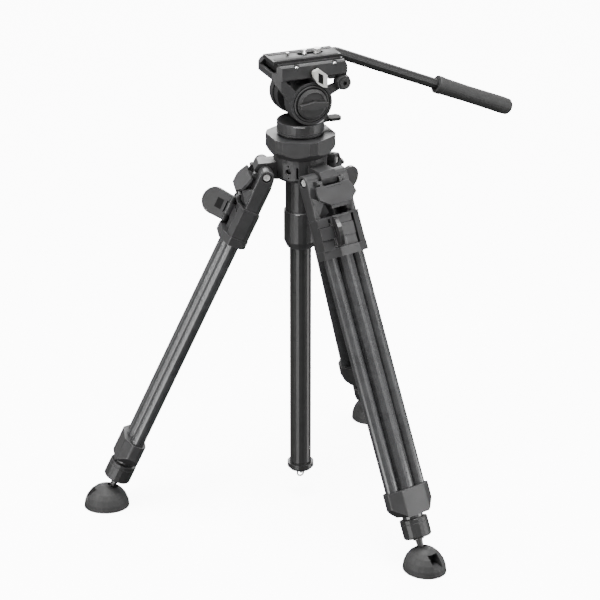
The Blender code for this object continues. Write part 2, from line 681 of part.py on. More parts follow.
def plate_receiver():
    """Receiver: the channel for the plate, the two drums about the tilt axis, the arms and the rosettes."""
    wide = RECEIVER_HALF_WIDTH
    block = box((RECEIVER_REAR, -wide, RECEIVER_BOTTOM), (RECEIVER_FRONT, wide, JAW_TOP), 2)
    near_low, near_high = NEAR_DRUM
    front_arm = [(45.5, 592), (44.3, 586), (23.1, 556), (14, 570), (29, 585), (33, 592)]
    rear_strap = [(-24, 573), (-27, 561), (-45, 570), (-45, 578)]
    x, _, z = NEAR_ROSETTE
    far_x, _, far_z = HANDLE_PIVOT
    parts = [
        tilt_rod(near_low, near_high, NEAR_DRUM_RADIUS),
        tilt_rod(*FAR_DRUM, FAR_DRUM_RADIUS),
        slab(front_arm, 17, near_high - 0.4, "Y"),
        slab(rear_strap, 18.5, 25.3, "Y"),
        box((-22, FAR_DRUM[0] + 0.6, 573), (18, FAR_DRUM[1] - 0.6, 591)),
        rod((x, 19.7, z), (x, 26.5, z), 10.2),
        box((-51.3, 20.1, z), (x + 6, 26.1, 592)),
        rod((far_x, -29, far_z), (far_x, -19.5, far_z), 9.8),
        box((-51.3, -28.2, far_z), (far_x + 8, -20.2, 592)),
    ]
    joined(block, *parts)
    far = [(-y, z) for y, z in plate_profile(GAP)]
    channel = [*far[:3], (far[3][0], 620), (NEAR_WALL_Y, 620), (NEAR_WALL_Y, RECEIVER_FLOOR)]
    holes = [slab(channel, -60, 60, "X"), tilt_rod(-40, 40, 5 + GAP, 20)]
    holes.append(box((33, -21, 591), (43, 17, 599)))
    holes.append(slab([(34.5, 30.5), (47, 19.5), (50, 32)], 560, 620, "Z"))
    holes.append(cut(tilt_rod(near_high - 0.6, 30, 24.8), tilt_rod(20, 31, 24, 28)))
    lever_x, _, lever_z = PLATE_LEVER_PIVOT
    holes.append(rod((lever_x, 28, lever_z), (lever_x, 31, lever_z), 8, sides=24))
    holes.append(slab([(38.5, 608.5), (47, 599.5), (47, 620), (38.5, 620)], -40, 40, "Y"))
    holes.append(slab([(-47, 608.5), (-53, 596.5), (-53, 620), (-47, 620)], -40, 40, "Y"))
    holes += [rod((x, 28.2, 604), (x, 28.2, 615), 3.4, sides=16) for x in (17, -34)]
    return cut(block, *holes)


def clamp_jaw():
    """Moving jaw between the near wall and the plate."""
    inner = plate_profile(GAP)
    outline = [(y, z) for y, z in inner[:3]] + [(inner[3][0], 608.5)]
    outline[0] = (outline[0][0], RECEIVER_FLOOR + GAP)
    outer = NEAR_WALL_Y - CLAMP_TRAVEL - GAP
    outline += [(outer, 608.5), (outer, RECEIVER_FLOOR + GAP)]
    return slab(outline, -47, 38, "X")


def quick_release_plate():
    """Camera plate with a slot and a hole for the screws, and a pocket below for their heads."""
    half = plate_profile(0)
    outline = half + [(-y, z) for y, z in reversed(half)]
    body = slab(outline, PLATE_REAR, PLATE_FRONT, "X")
    pocket = box((-32, -9.5, 590), (22, 9.5, 604))
    foot = box((38.5, -30, 590), (50, 30, 607.3))
    slot = slab(rounded([(-30, -5.1), (5, -5.1), (5, 5.1), (-30, 5.1)], 4.8, 4), 600, 620, "Z")
    pin_hole = rod((PIN_X, 0, 600), (PIN_X, 0, 620), 2.3 + GAP, sides=16)
    return cut(body, pocket, foot, slot, pin_hole)


def camera_screw(x, radius, head):
    """Slotted screw that holds a camera, standing on its head at x."""
    screw = rod((x, 0, 600), (x, 0, 617.5), radius, sides=20)
    joined(screw, rod((x, 0, 599.4), (x, 0, 603.6), head, sides=24))
    return cut(screw, box((x - 10, -0.8, 598), (x + 10, 0.8, 601)))


def locating_pin():
    pin = rod((PIN_X, 0, 601), (PIN_X, 0, 616), 2.3, 2.0, sides=16)
    return joined(pin, rod((PIN_X, 0, 602), (PIN_X, 0, 603.6), 3.8, sides=18))


def tilt_lock_knob():
    """Round knob with a wing across it, about the tilt axis; its frame has z along the axis."""
    disc = turned([(0, 4.6), (16, 4.6), (19.5, 2.6), (19.5, 0), (0, 0)], 28)
    wing = slab([(-18.5, -2.2), (0, -5), (18.5, -2.2), (18.5, 2.2), (0, 5), (-18.5, 2.2)], 3, 10.5, "Z")
    return joined(disc, wing)


def tilt_drag_cover():
    """Deep round cover on the far drum; its frame has z along the tilt axis, outward."""
    profile = [(0, 14), (20, 14), (21, 13.2), (26.5, 13.2), (29.3, 10.8), (29.3, 0), (0, 0)]
    return turned(profile, 32)


def plate_lock_lever():
    """Bright lever about its pivot, hanging back and down, with a finger recess."""
    outline = [(3.6, 2), (-2.9, 5.5), (-14.6, -4), (-14.6, -20.3), (-9, -19), (-2, -14), (3.6, -5)]
    body = slab(rounded(outline, 1, 2), 1.2, 6.4, "Y")
    joined(body, rod((0, 0, -0.8), (0, 2, -0.8), 4.2, sides=20))
    return cut(body, slab([(-2.2, 0.5), (-9, -3.5), (-9, -16), (-2.2, -12)], 4.6, 7, "Y"))


def left_rosette():
    """Rosette cap on the operator's side, with a socket."""
    x, y, z = NEAR_ROSETTE
    cap = rod((x, y, z), (x, y + 5, z), 9.6, 8.8, sides=24)
    joined(cap, rod((x, y + 3, z), (x, y + 6.5, z), 6.2, sides=20))
    return cut(cap, rod((x, y + 3.5, z), (x, y + 10, z), 3, sides=6))


def handle_bend():
    """Middle of the handle's bend, as (x, z)."""
    return HANDLE_PIVOT[0] - 2 - HANDLE_BEND, HANDLE_PIVOT[2] + 8


def handle_clamp():
    """Clamp on the far rosette, with the socket that holds the handle."""
    x, y, z = HANDLE_PIVOT
    hub = rod((x, y - 9, z), (x, -29.3, z), 10.3, sides=24)
    start = handle_bend()[0] + HANDLE_BEND
    joined(hub, rod((start, y, z), (start, y, z + 7.7), 9.4, sides=24))
    return cut(hub, rod((start, y, z + 3), (start, y, z + 20), HANDLE_RADIUS + GAP))


def slope_point(distance):
    """The point on the handle's straight run this far past the bend."""
    bend_x, bend_z = handle_bend()
    angle = math.radians(90 + HANDLE_SLOPE)
    x, z = bend_x + HANDLE_BEND * math.cos(angle), bend_z + HANDLE_BEND * math.sin(angle)
    slope = math.radians(HANDLE_SLOPE)
    return x - distance * math.cos(slope), HANDLE_PIVOT[1], z - distance * math.sin(slope)


def grip_distance():
    """How far past the bend the grip starts."""
    return (slope_point(0)[0] - GRIP_START_X) / math.cos(math.radians(HANDLE_SLOPE))


def handle_rod():
    """Bent bar: up out of the clamp, round the bend, then down into the grip."""
    bend_x, bend_z = handle_bend()
    y, start = HANDLE_PIVOT[1], bend_x + HANDLE_BEND
    points = [(start, y, HANDLE_PIVOT[2] + 3.3)]
    for step in range(9):
        angle = math.radians((90 + HANDLE_SLOPE) * step / 8)
        points.append((bend_x + HANDLE_BEND * math.cos(angle), y, bend_z + HANDLE_BEND * math.sin(angle)))
    points.append(slope_point(grip_distance() + 20))
    return pipe(points, HANDLE_RADIUS, 4)


def handle_grip():
    """Grip about its own axis, z down the handle from its start."""
    big = GRIP_RADIUS
    profile = [
        (0, GRIP_LENGTH),
        (big - 3, GRIP_LENGTH),
        (big - 0.6, GRIP_LENGTH - 3),
        (big, GRIP_LENGTH - 12),
        (big - 0.6, 50),
        (big, 9),
        (big + 0.6, 7),
        (big + 0.6, 1),
        (big, 0),
        (0, 0),
    ]
    return cut(turned(profile, 24), rod((0, 0, -5), (0, 0, 22), HANDLE_RADIUS + GAP))


# ---- Assembly ------------------------------------------------------------------------------------------


def looks():
    """The materials, by name."""
    black, graphite = (0.025, 0.026, 0.028), (0.035, 0.036, 0.038)
    return {
        "cast": material("cast_alloy", black, 0.42, 0.3),
        "anodised": material("anodised_alloy", graphite, 0.34, 0.5),
        "carbon": material("carbon_tube", (0.03, 0.03, 0.032), 0.35),
        "rubber": material("rubber", (0.02, 0.02, 0.02), 0.75),
        "plastic": material("moulded_plastic", (0.03, 0.03, 0.032), 0.5),
        "steel": material("steel", (0.6, 0.6, 0.6), 0.25, 1.0),
        "silver": material("silver_alloy", (0.75, 0.75, 0.74), 0.35, 0.8),
    }


def build_legs(root, look):
    """Three legs from one set of meshes."""
    fixed = {
        "yoke": finished(yoke(), "yoke", look["cast"]),
        "pivot_pin": finished(pivot_pin(), "pivot_pin", look["steel"]),
        "lower_bracket": finished(lower_bracket(), "lower_bracket", look["cast"]),
        "mid_tube": finished(mid_tube(), "mid_tube", look["carbon"]),
        "foot_tube": finished(foot_tube(), "foot_tube", look["anodised"]),
        "foot_stud": finished(foot_stud(), "foot_stud", look["steel"]),
        "lever_pin": finished(lever_pin(), "lever_pin", look["steel"]),
    }
    side_tube = finished(outer_tube(), "outer_tube", look["carbon"])
    lever = finished(lock_lever(), "lock_lever", look["anodised"])
    tab = finished(angle_tab(), "angle_tab", look["cast"])
    pad = finished(foot_pad(), "foot_pad", look["rubber"])
    for number, azimuth in enumerate(LEG_AZIMUTHS, 1):
        angle = math.radians(azimuth)
        pivot = (PIVOT_RADIUS * math.cos(angle), PIVOT_RADIUS * math.sin(angle), PIVOT_HEIGHT)
        leg = empty(f"leg_{number}_spread_axis", root, pivot, (0, -LEG_ANGLE, azimuth))
        for name, mesh in fixed.items():
            node(f"leg_{number}_{name}", mesh, leg)
        for side, y in (("left", TUBE_Y), ("right", -TUBE_Y)):
            node(f"leg_{number}_outer_tube_{side}", side_tube, leg, (0, y, 0))
        node(f"leg_{number}_lock_lever", lever, leg, (*LEVER_HINGE, 0), (0, 0, LEVER_OPEN_ANGLE))
        node(f"leg_{number}_angle_tab", tab, leg, (TAB_HINGE[0], 0, TAB_HINGE[1]))
        node(f"leg_{number}_foot_pad", pad, leg, (0, 0, BALL_ALONG), (0, LEG_ANGLE, 0))


def build_hub(root, look):
    pieces = {
        "hub_casting": (hub_casting, "cast"),
        "column_guide": (column_guide, "anodised"),
        "column_lock_sleeve": (column_lock_sleeve, "anodised"),
        "centre_column": (centre_column, "carbon"),
        "column_end_cap": (column_end_cap, "plastic"),
        "column_platform": (column_platform, "cast"),
    }
    for name, (make, kind) in pieces.items():
        node(name, finished(make(), name, look[kind]), root)
    node("weight_hook", finished(weight_hook(), "weight_hook", look["steel"]), root, (0, 0, 35.5))


def build_head(root, look):
    pieces = {
        "pan_base": (pan_base, "cast"),
        "tilt_housing": (tilt_housing, "cast"),
        "tilt_axle": (tilt_axle, "steel"),
        "plate_receiver": (plate_receiver, "cast"),
        "clamp_jaw": (clamp_jaw, "anodised"),
        "quick_release_plate": (quick_release_plate, "anodised"),
        "camera_screw_quarter": (lambda: camera_screw(QUARTER_X, 3.1, 7), "steel"),
        "camera_screw_three_eighths": (lambda: camera_screw(THREE_EIGHTHS_X, 4.7, 8.5), "steel"),
        "locating_pin": (locating_pin, "steel"),
        "left_rosette": (left_rosette, "plastic"),
        "handle_clamp": (handle_clamp, "cast"),
        "handle_rod": (handle_rod, "anodised"),
    }
    for name, (make, kind) in pieces.items():
        node(name, finished(make(), name, look[kind]), root)
    lever = finished(pan_lock_lever(), "pan_lock_lever", look["plastic"])
    node("pan_lock_lever", lever, root, PAN_LEVER_AXIS)
    knob = finished(tilt_lock_knob(), "tilt_lock_knob", look["plastic"])
    node("tilt_lock_knob", knob, root, (TILT_X, NEAR_DRUM[1] + GAP, TILT_Z), (-90, 0, 0))
    cover = finished(tilt_drag_cover(), "tilt_drag_cover", look["plastic"])
    node("tilt_drag_cover", cover, root, (TILT_X, FAR_DRUM[0] - GAP, TILT_Z), (90, 0, 0))
    catch = finished(plate_lock_lever(), "plate_lock_lever", look["silver"])
    node("plate_lock_lever", catch, root, PLATE_LEVER_PIVOT)
    grip = finished(handle_grip(), "handle_grip", look["rubber"])
    node("handle_grip", grip, root, slope_point(grip_distance()), (0, 180 + 90 - HANDLE_SLOPE, 0))


def build():
    look = looks()
    root = empty("column_axis", None, (COLUMN_X, COLUMN_Y, 0))
    build_legs(root, look)
    build_hub(root, look)
    build_head(root, look)
    bpy.context.view_layer.update()


clear_scene()
TRIPOD = collection("tripod_with_fluid_head")
SHAPES = collection("loose_shapes")
build()
bpy.data.collections.remove(SHAPES)
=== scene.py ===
"""Looks for the tripod with fluid head: finishes, small added details, floor, light and camera."""

import json
import math

import bmesh
import bpy
from mathutils import Matrix, Vector


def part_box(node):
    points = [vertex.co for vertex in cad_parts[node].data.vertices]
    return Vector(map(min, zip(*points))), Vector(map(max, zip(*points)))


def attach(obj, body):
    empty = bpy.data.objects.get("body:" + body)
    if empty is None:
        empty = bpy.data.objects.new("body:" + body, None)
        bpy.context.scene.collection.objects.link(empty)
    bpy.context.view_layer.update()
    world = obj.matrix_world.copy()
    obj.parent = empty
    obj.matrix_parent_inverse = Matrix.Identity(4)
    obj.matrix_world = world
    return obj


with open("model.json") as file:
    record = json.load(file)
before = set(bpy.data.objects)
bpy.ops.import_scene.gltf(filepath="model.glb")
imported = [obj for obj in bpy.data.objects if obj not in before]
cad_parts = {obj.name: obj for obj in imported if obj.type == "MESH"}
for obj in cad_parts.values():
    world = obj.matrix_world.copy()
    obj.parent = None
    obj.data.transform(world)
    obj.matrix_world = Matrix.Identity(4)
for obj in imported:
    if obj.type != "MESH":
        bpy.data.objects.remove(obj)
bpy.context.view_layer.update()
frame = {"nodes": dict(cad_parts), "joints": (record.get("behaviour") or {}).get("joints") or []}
NODES = frame["nodes"]
MM = 0.001

# Angles are in degrees. LEG_ANGLE is how far a leg leans from the column.
LEG_AZIMUTHS = (-15.1, 104.9, 224.9)
LEG_ANGLE = 25.16
TUBE_OFFSET = 0.021
LEVER_SWING_AT_REST = -25
PORT_FROM_LEG = 60
SHARP_CORNER = 32

# The weave on the legs' tubes: how many lengthwise tows go round, and how wide a crosswise one is.
TOWS_AROUND = 22
TOW_WIDTH = 0.0026

# Colours where handling or dust has changed a finish.
WORN_ALLOY = (0.17, 0.17, 0.175)
WORN_ANODISED = (0.22, 0.22, 0.225)
DUSTY_RUBBER = (0.07, 0.07, 0.069)

# Added pieces, in millimetres, and the steps in one turn of a thread.
THREAD_STEPS = 18
PLATE_TOP = 611.9
COARSE_PITCH, FINE_PITCH = 1.59, 1.27

# The stage, in metres, and the strength of its glow and its room light.
FLOOR_REACH = 14
FLOOR_GLOW = 9.0
ROOM_LOW, ROOM_HIGH = 0.10, 0.95
CAMERA_AT = (1.1660, 2.7575, 1.5709)
CAMERA_AZIMUTH, CAMERA_PITCH, CAMERA_LENS = -112.34, -23.15, 152.6


# ---- Materials ---------------------------------------------------------------------------------


class Finish:
    """A node material being built: a principled shader, and short ways to add nodes to it."""

    def __init__(
        self, name, colour, roughness, metallic=0.0, coat=0.0, coat_roughness=0.1, specular=0.5
    ):
        self.material = bpy.data.materials.new(name)
        self.material.use_nodes = True
        self.tree = self.material.node_tree
        self.shader = self.tree.nodes["Principled BSDF"]
        for socket, value in (
            ("Base Color", (*colour, 1)),
            ("Roughness", roughness),
            ("Metallic", metallic),
            ("Coat Weight", coat),
            ("Coat Roughness", coat_roughness),
            ("Specular IOR Level", specular),
        ):
            self.shader.inputs[socket].default_value = value
        self.place = self.add("ShaderNodeTexCoord").outputs["Object"]

    def add(self, kind, **settings):
        """A new node. Each setting goes to the input of that name, or else to the node itself."""
        node = self.tree.nodes.new(kind)
        for key, value in settings.items():
            if key in node.inputs:
                self.set(node.inputs[key], value)
            else:
                setattr(node, key, value)
        return node

    def set(self, socket, value):
        if isinstance(value, bpy.types.NodeSocket):
            self.tree.links.new(value, socket)
        else:
            socket.default_value = value

    def math(self, operation, first, second=0.0):
        node = self.add("ShaderNodeMath", operation=operation)
        self.set(node.inputs[0], first)
        self.set(node.inputs[1], second)
        return node.outputs[0]

    def noise(self, scale, detail=4.0, place=None, distortion=0.0, roughness=0.5):
        """Smooth noise from 0 to 1, with about scale lumps to the metre."""
        return self.add(
            "ShaderNodeTexNoise",
            Vector=place or self.place,
            Scale=scale,
            Detail=detail,
            Distortion=distortion,
            Roughness=roughness,
        ).outputs["Fac"]

    def ramp(self, value, low, high, to_low=0.0, to_high=1.0):
        """value stretched from low..high to to_low..to_high, and held at the ends."""
        node = self.add("ShaderNodeMapRange")
        for i, number in enumerate((value, low, high, to_low, to_high)):
            self.set(node.inputs[i], number)
        return node.outputs[0]

    def mix(self, factor, first, second):
        node = self.add("ShaderNodeMix", data_type="RGBA")
        self.set(node.inputs[0], factor)
        self.set(node.inputs[6], (*first, 1) if isinstance(first, tuple) else first)
        self.set(node.inputs[7], (*second, 1) if isinstance(second, tuple) else second)
        return node.outputs[2]

    def bump(self, height, strength, distance):
        node = self.add("ShaderNodeBump", Strength=strength, Distance=distance, Height=height)
        self.set(self.shader.inputs["Normal"], node.outputs[0])

    def colour(self, value):
        self.set(self.shader.inputs["Base Color"], value)

    def roughness(self, value):
        self.set(self.shader.inputs["Roughness"], value)

    def painted_crevice_shade(self, distance):
        """1 in the open, falling to a quarter in corners and slots, as painted shade for a colour.
        """
        node = self.add("ShaderNodeAmbientOcclusion", samples=6, Distance=distance)
        return self.ramp(node.outputs["AO"], 0.35, 0.9, 0.25, 1)

    def shaded(self, colour, factor):
        """colour with its brightness multiplied by factor."""
        return self.mix(factor, (0, 0, 0), colour)

    def edge_wear(self, radius):
        """1 on convex edges, where handling polishes a finish, and 0 on flats."""
        rounded = self.add("ShaderNodeBevel", samples=4, Radius=radius).outputs[0]
        flat = self.add("ShaderNodeNewGeometry").outputs["Normal"]
        dot = self.add("ShaderNodeVectorMath", operation="DOT_PRODUCT")
        self.set(dot.inputs[0], rounded)
        self.set(dot.inputs[1], flat)
        return self.ramp(dot.outputs["Value"], 0.88, 0.9995, 1, 0)


def cast_finish():
    """Powder-coated light alloy: a fine pebbled skin, faint mottling, worn edges and painted shade
    in corners.
    """
    shade, roughness = 0.025, 0.42
    f = Finish("cast_alloy_black", (shade, shade, shade * 1.04), roughness)
    grain = f.noise(1500, 2)
    cloud = f.noise(60, 5)
    wear = f.math("MULTIPLY", f.edge_wear(0.0009), f.ramp(f.noise(140, 4), 0.35, 0.75, 0.35, 1))
    base = f.mix(cloud, (shade * 0.8,) * 3, (shade * 1.22, shade * 1.22, shade * 1.26))
    worn = f.mix(f.math("MULTIPLY", wear, 0.6), base, WORN_ALLOY)
    # Painted shade: the colour darkens in corners and slots, where shade falls.
    f.colour(f.shaded(worn, f.painted_crevice_shade(0.007)))
    patchy = f.ramp(cloud, 0.3, 0.7, roughness - 0.05, roughness + 0.06)
    f.roughness(f.math("SUBTRACT", patchy, f.math("MULTIPLY", wear, 0.10)))
    f.bump(grain, 0.22, 0.00012)
    return f.material


def carbon_finish(name, azimuth, across):
    """Lacquered carbon tube: a twill weave wound round the tube, under a clear coat.

    across is how far the tube's axis is from the middle of its leg, in metres.
    """
    f = Finish(name, (0.01, 0.01, 0.011), 0.34, coat=0.9, coat_roughness=0.12)
    upright = Matrix.Rotation(math.radians(LEG_ANGLE), 3, "Y")
    upright = upright @ Matrix.Rotation(math.radians(-azimuth), 3, "Z")
    centre = upright @ LEG_ORIGINS[azimuth]
    tube = f.add(
        "ShaderNodeMapping",
        Vector=f.place,
        Rotation=upright.to_euler(),
        Location=(-centre.x, -centre.y - across, 0),
    ).outputs[0]
    axes = f.add("ShaderNodeSeparateXYZ", Vector=tube).outputs
    around = f.math("MULTIPLY", f.math("ARCTAN2", axes[1], axes[0]), TOWS_AROUND / math.tau)
    along = f.math("MULTIPLY", axes[2], 1 / TOW_WIDTH)
    weave = twill(f, around, along)
    blotch = f.ramp(f.noise(38, 3, distortion=1.6), 0.35, 0.68, 0.4, 1)
    streak = f.math("MULTIPLY", f.noise(1.0, 3, place=stretched(f, tube, (420, 420, 22))), 0.6)
    tone = f.math("MULTIPLY", f.math("ADD", weave, streak), blotch)
    f.colour(f.mix(tone, (0.004, 0.004, 0.0045), (0.040, 0.041, 0.043)))
    f.roughness(f.ramp(weave, 0, 1, 0.42, 0.24))
    f.bump(weave, 0.10, 0.00015)
    return f.material


def stretched(f, place, scale):
    """The same place on the object, with so many texture units to the metre along x, y and z."""
    return f.add("ShaderNodeMapping", Vector=place, Scale=scale).outputs[0]


def twill(f, across, along):
    """A two-over-two twill: 1 where the lengthwise tow shows and 0 where the crosswise one does."""
    row = f.math("FLOOR", along)
    step = f.math("FRACT", f.math("MULTIPLY", f.math("ADD", f.math("FLOOR", across), row), 0.25))
    over = f.math("LESS_THAN", step, 0.45)
    round_u = f.math("SINE", f.math("MULTIPLY", f.math("FRACT", across), math.pi))
    round_v = f.math("SINE", f.math("MULTIPLY", f.math("FRACT", along), math.pi))
    lengthwise = f.math("MULTIPLY", over, round_u)
    crosswise = f.math("MULTIPLY", f.math("SUBTRACT", 1.0, over), f.math("MULTIPLY", round_v, 0.35))
    return f.math("ADD", lengthwise, crosswise)


def anodised_finish(name="anodised_black", shade=0.026, roughness=0.33, specular=0.5):
    """Black anodised alloy with faint turning marks."""
    f = Finish(name, (shade,) * 3, roughness, metallic=0.25, specular=specular)
    marks = f.noise(1.0, 3, place=stretched(f, f.place, (90, 90, 2600)))
    cloud = f.noise(45, 4)
    wear = f.math("MULTIPLY", f.edge_wear(0.0007), f.ramp(f.noise(160, 3), 0.4, 0.75, 0.3, 1))
    base = f.mix(cloud, (shade * 0.75,) * 3, (shade * 1.3,) * 3)
    f.colour(f.mix(f.math("MULTIPLY", wear, 0.6), base, WORN_ANODISED))
    f.roughness(f.ramp(marks, 0.3, 0.7, roughness - 0.06, roughness + 0.08))
    f.bump(marks, 0.08, 0.00008)
    return f.material


def rubber_finish(name="rubber_black", shade=0.030, grain_size=900):
    """Moulded rubber: matte, finely pitted, with a little pale dust."""
    f = Finish(name, (shade,) * 3, 0.62, specular=0.3)
    pits = f.add("ShaderNodeTexVoronoi", Vector=f.place, Scale=grain_size).outputs["Distance"]
    dust = f.ramp(f.noise(70, 6, roughness=0.65), 0.52, 0.72, 0, 0.35)
    f.colour(f.mix(dust, (shade,) * 3, DUSTY_RUBBER))
    f.roughness(f.ramp(f.noise(120, 4), 0.3, 0.7, 0.5, 0.7))
    f.bump(pits, 0.25, 0.00015)
    return f.material


def plastic_finish(name="plastic_black", shade=0.028, roughness=0.4, specular=0.5):
    """Glass-filled nylon with a spark-eroded texture, and painted shade in corners."""
    f = Finish(name, (shade,) * 3, roughness, specular=specular)
    grain = f.noise(2200, 3)
    wear = f.math("MULTIPLY", f.edge_wear(0.0008), 0.5)
    base = f.mix(f.noise(75, 5), (shade * 0.82,) * 3, (shade * 1.25,) * 3)
    # Painted shade: the colour darkens in corners and slots, where shade falls.
    f.colour(f.shaded(f.mix(wear, base, (4 * shade,) * 3), f.painted_crevice_shade(0.004)))
    f.roughness(f.ramp(f.noise(90, 3), 0.3, 0.7, roughness - 0.06, roughness + 0.08))
    f.bump(grain, 0.2, 0.00010)
    return f.material


def steel_finish(name="steel_bright", shade=0.62, roughness=0.22, metallic=1.0):
    """Turned steel: bright, with fine rings and small scratches."""
    f = Finish(name, (shade,) * 3, roughness, metallic=metallic)
    rings = f.noise(1.0, 2, place=stretched(f, f.place, (300, 300, 5200)))
    scratches = f.noise(1.0, 2, place=stretched(f, f.place, (2600, 240, 900)))
    bright = (shade * 1.12, shade * 1.11, shade * 1.08)
    f.colour(f.mix(f.noise(150, 4), (shade * 0.8,) * 3, bright))
    f.roughness(f.ramp(scratches, 0.35, 0.65, roughness - 0.06, roughness + 0.14))
    f.bump(rings, 0.12, 0.00006)
    return f.material


def silver_finish():
    """Satin cast and tumbled alloy of the plate's lever."""
    f = Finish("silver_satin", (0.74, 0.74, 0.71), 0.42, metallic=0.55)
    speckle = f.noise(1300, 4)
    f.colour(f.mix(f.noise(110, 4), (0.66, 0.66, 0.63), (0.80, 0.80, 0.77)))
    f.roughness(f.ramp(speckle, 0.3, 0.7, 0.34, 0.5))
    f.bump(speckle, 0.15, 0.00010)
    return f.material


# ---- Where each leg is -------------------------------------------------------------------------


def joint(name):
    return next(j for j in frame["joints"] if j["name"] == name)


LEG_ORIGINS = {
    azimuth: Vector(joint(f"leg_{i}_spread")["pos_m"])
    for i, azimuth in enumerate(LEG_AZIMUTHS, start=1)
}


def leg_matrix(azimuth):
    """Leg frame, in millimetres, to the world: x out from the leg, y across it, z up along it."""
    turn = Matrix.Rotation(math.radians(azimuth), 4, "Z")
    lean = Matrix.Rotation(math.radians(-LEG_ANGLE), 4, "Y")
    return Matrix.Translation(LEG_ORIGINS[azimuth]) @ turn @ lean @ Matrix.Scale(MM, 4)


def clothe(names, material):
    """Gives every CAD node named in names this material."""
    for name in names:
        NODES[name].data.materials.clear()
        NODES[name].data.materials.append(material)


def apply_finishes():
    cast, anodised, rubber = cast_finish(), anodised_finish(), rubber_finish()
    plastic, steel = plastic_finish(), steel_finish()
    dark = steel_finish("steel_blackened", 0.11, 0.34)
    polished = steel_finish("steel_polished", 0.85, 0.2, 0.5)
    tubes = {"outer_tube_left": TUBE_OFFSET, "outer_tube_right": -TUBE_OFFSET, "mid_tube": 0.0}
    for i, azimuth in enumerate(LEG_AZIMUTHS, start=1):
        leg = f"leg_{i}_"
        for tube, across in tubes.items():
            clothe([leg + tube], carbon_finish(f"carbon_{leg}{tube}", azimuth, across))
        clothe([leg + "yoke", leg + "lower_bracket", leg + "angle_tab"], cast)
        clothe([leg + "foot_tube", leg + "lock_lever"], anodised)
        clothe([leg + "foot_pad"], rubber)
        clothe([leg + "pivot_pin"], polished)
        clothe([leg + "lever_pin", leg + "foot_stud"], dark)
    clothe(["hub_casting", "column_guide", "column_lock_sleeve", "column_platform"], cast)
    clothe(["pan_base", "tilt_housing", "plate_receiver", "handle_clamp"], cast)
    clothe(["clamp_jaw", "centre_column", "column_end_cap"], anodised)
    satin = anodised_finish("anodised_satin", 0.022, 0.45, 0.3)
    clothe(["quick_release_plate", "handle_rod"], satin)
    clothe(["tilt_lock_knob", "tilt_drag_cover", "left_rosette"], plastic)
    clothe(["pan_lock_lever"], plastic_finish("plastic_lever", 0.020, 0.6, 0.2))
    clothe(["handle_grip"], rubber)
    clothe(["camera_screw_quarter", "camera_screw_three_eighths"], steel)
    clothe(["locating_pin", "tilt_axle"], steel)
    clothe(["weight_hook"], steel_finish("steel_grey", 0.3, 0.35, 0.7))
    clothe(["plate_lock_lever"], silver_finish())


def smooth(mesh):
    """Shades curved faces as one surface, and keeps the corners between flat ones sharp."""
    for polygon in mesh.polygons:
        polygon.use_smooth = True
    mesh.set_sharp_from_angle(angle=math.radians(SHARP_CORNER))


# ---- Added pieces ------------------------------------------------------------------------------


def skin(bm, rings, closed=True):
    """Joins each ring of points to the next, and caps the two ends unless the rings close up."""
    rows = [[bm.verts.new(point) for point in ring] for ring in rings]
    pairs = list(zip(rows, rows[1:])) + ([(rows[-1], rows[0])] if closed else [])
    for low, high in pairs:
        for k in range(len(low)):
            following = (k + 1) % len(low)
            bm.faces.new((low[k], low[following], high[following], high[k]))
    if not closed:
        bm.faces.new(rows[0][::-1])
        bm.faces.new(rows[-1])


def lathe(bm, profile, sides, place=None):
    """Turns a closed outline of (radius, height) about z.

    A third value of True makes that radius the corner of a hexagon.
    """
    place = place or Matrix.Identity(4)
    sixth = math.radians(60)
    rings = []
    for step in range(sides):
        angle = math.tau * step / sides
        hexagon = math.cos(sixth / 2) / math.cos(angle % sixth - sixth / 2)
        ring = []
        for radius, height, *is_hexagon in profile:
            reach = radius * (hexagon if is_hexagon else 1)
            ring.append(place @ Vector((reach * math.cos(angle), reach * math.sin(angle), height)))
        rings.append(ring)
    skin(bm, rings)
    bmesh.ops.remove_doubles(bm, verts=bm.verts, dist=0.0005)


def arc_strip(bm, low, high, inner, outer, middle, half_angle):
    """A strip that wraps a cylinder about z, from inner to outer radius, centred on an azimuth."""
    rings = []
    for step in range(9):
        angle = math.radians(middle + half_angle * (step / 4 - 1))
        corners = ((inner, low), (outer, low), (outer, high), (inner, high))
        rings.append([(r * math.cos(angle), r * math.sin(angle), z) for r, z in corners])
    skin(bm, rings, closed=False)


def plank(bm, outline, low, high, place=None):
    """A flat outline of (x, y), from height low to height high."""
    place = place or Matrix.Identity(4)
    skin(bm, [[place @ Vector((x, y, z)) for x, y in outline] for z in (low, high)], closed=False)


def thread(bm, radius, pitch, low, high, height, place=None):
    """A helical ridge on a cylinder about z; a negative height puts it inside a bore."""
    place = place or Matrix.Identity(4)
    ridge = ((-0.1, -0.42), (1, -0.06), (1, 0.06), (-0.1, 0.42))
    rings = []
    for step in range(int((high - low) / pitch * THREAD_STEPS) + 1):
        angle = math.tau * step / THREAD_STEPS
        z = low + pitch * step / THREAD_STEPS
        ring = []
        for out, up in ridge:
            reach = radius + height * out
            point = (reach * math.cos(angle), reach * math.sin(angle), z + pitch * up)
            ring.append(place @ Vector(point))
        rings.append(ring)
    skin(bm, rings, closed=False)


def add_piece(name, build, place, body, material, bevel=0.0):
    """Makes a piece that rides on body.

    build fills a mesh in millimetres, place takes it to the world, and bevel rounds its corners.
    """
    bm = bmesh.new()
    build(bm)
    bmesh.ops.recalc_face_normals(bm, faces=bm.faces)
    if bevel:
        corner = math.radians(40)
        edges = [e for e in bm.edges if e.is_manifold and e.calc_face_angle() > corner]
        bmesh.ops.bevel(bm, geom=edges, offset=bevel, segments=2, affect="EDGES")
    bm.transform(place)
    mesh = bpy.data.meshes.new(name)
    bm.to_mesh(mesh)
    bm.free()
    smooth(mesh)
    mesh.materials.append(material)
    obj = bpy.data.objects.new(name, mesh)
    bpy.context.scene.collection.objects.link(obj)
    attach(obj, body)


